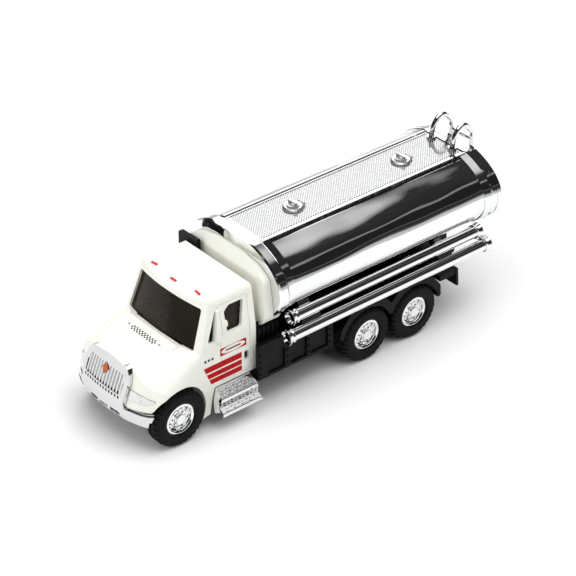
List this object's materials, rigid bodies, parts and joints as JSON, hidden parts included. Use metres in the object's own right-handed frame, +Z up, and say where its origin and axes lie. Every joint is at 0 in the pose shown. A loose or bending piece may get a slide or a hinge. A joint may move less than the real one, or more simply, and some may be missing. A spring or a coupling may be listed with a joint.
{
  "type": "toy tanker truck",
  "caption": "Toy tanker truck: cream bonneted cab, plated oval tank with walkway, hatches and ladder, hose tubes along both sides and rolling tandem-axle wheels.",
  "frame": {"origin": "floor level under the middle of the overall length and width", "axes": "+X forward, +Y to the truck's left, +Z up"},
  "size_m": [0.1872, 0.064, 0.0744],
  "materials": {
    "cream_paint": "gloss",
    "plated_plastic": "mirror plated",
    "black_plastic": "satin moulded",
    "tyre_rubber": "matte",
    "tinted_window": "clear tinted",
    "cab_interior": "satin moulded",
    "red_lamp": "gloss",
    "badge_plastic": "gloss",
    "steel": "drawn wire"
  },
  "bodies": {
    "truck": {"cab_shell": "cream_paint", "front_insert": "plated_plastic", "grille_badge": "badge_plastic", "cab_glazing": "tinted_window", "interior_tub": "cab_interior", "steering_wheel": "cab_interior", "roof_marker_lights": "red_lamp", "step_left": "plated_plastic", "step_right": "plated_plastic", "headboard": "cream_paint", "tank_shell": "plated_plastic", "tank_front_ring": "plated_plastic", "tank_rear_cap": "plated_plastic", "walkway_plate": "plated_plastic", "hatch_lid_front": "plated_plastic", "hatch_lid_rear": "plated_plastic", "rear_ladder": "plated_plastic", "upper_hose_tube_left": "plated_plastic", "upper_hose_tube_right": "plated_plastic", "lower_hose_tube_left": "plated_plastic", "lower_hose_tube_right": "plated_plastic", "hose_end_caps_left": "plated_plastic", "hose_end_caps_right": "plated_plastic", "hose_bracket_front_left": "plated_plastic", "hose_bracket_front_right": "plated_plastic", "hose_bracket_rear_left": "plated_plastic", "hose_bracket_rear_right": "plated_plastic", "chassis_frame": "black_plastic", "tank_cradle": "black_plastic", "side_skirt_left": "black_plastic", "side_skirt_right": "black_plastic", "rear_fender_left": "black_plastic", "rear_fender_right": "black_plastic", "mudflap_left": "black_plastic", "mudflap_right": "black_plastic", "base_plate": "black_plastic", "chassis_screws": "steel", "air_intake_box": "black_plastic"},
    "front_wheelset": {"front_axle": "steel", "front_tyre_left": "tyre_rubber", "front_tyre_right": "tyre_rubber", "front_hub_left": "plated_plastic", "front_hub_right": "plated_plastic"},
    "mid_wheelset": {"mid_axle": "steel", "mid_tyre_left": "tyre_rubber", "mid_tyre_right": "tyre_rubber", "mid_hub_left": "plated_plastic", "mid_hub_right": "plated_plastic"},
    "rear_wheelset": {"rear_axle": "steel", "rear_tyre_left": "tyre_rubber", "rear_tyre_right": "tyre_rubber", "rear_hub_left": "plated_plastic", "rear_hub_right": "plated_plastic"}
  },
  "joints": [
    {"name": "front_axle_spin", "type": "hinge", "parent": "truck", "child": "front_wheelset", "pos_m": [0.07502, 0, 0.012], "axis": [0, 1, 0], "continuous": true},
    {"name": "mid_axle_spin", "type": "hinge", "parent": "truck", "child": "mid_wheelset", "pos_m": [-0.01638, 0, 0.012], "axis": [0, 1, 0], "continuous": true},
    {"name": "rear_axle_spin", "type": "hinge", "parent": "truck", "child": "rear_wheelset", "pos_m": [-0.04197, 0, 0.012], "axis": [0, 1, 0], "continuous": true}
  ]
}
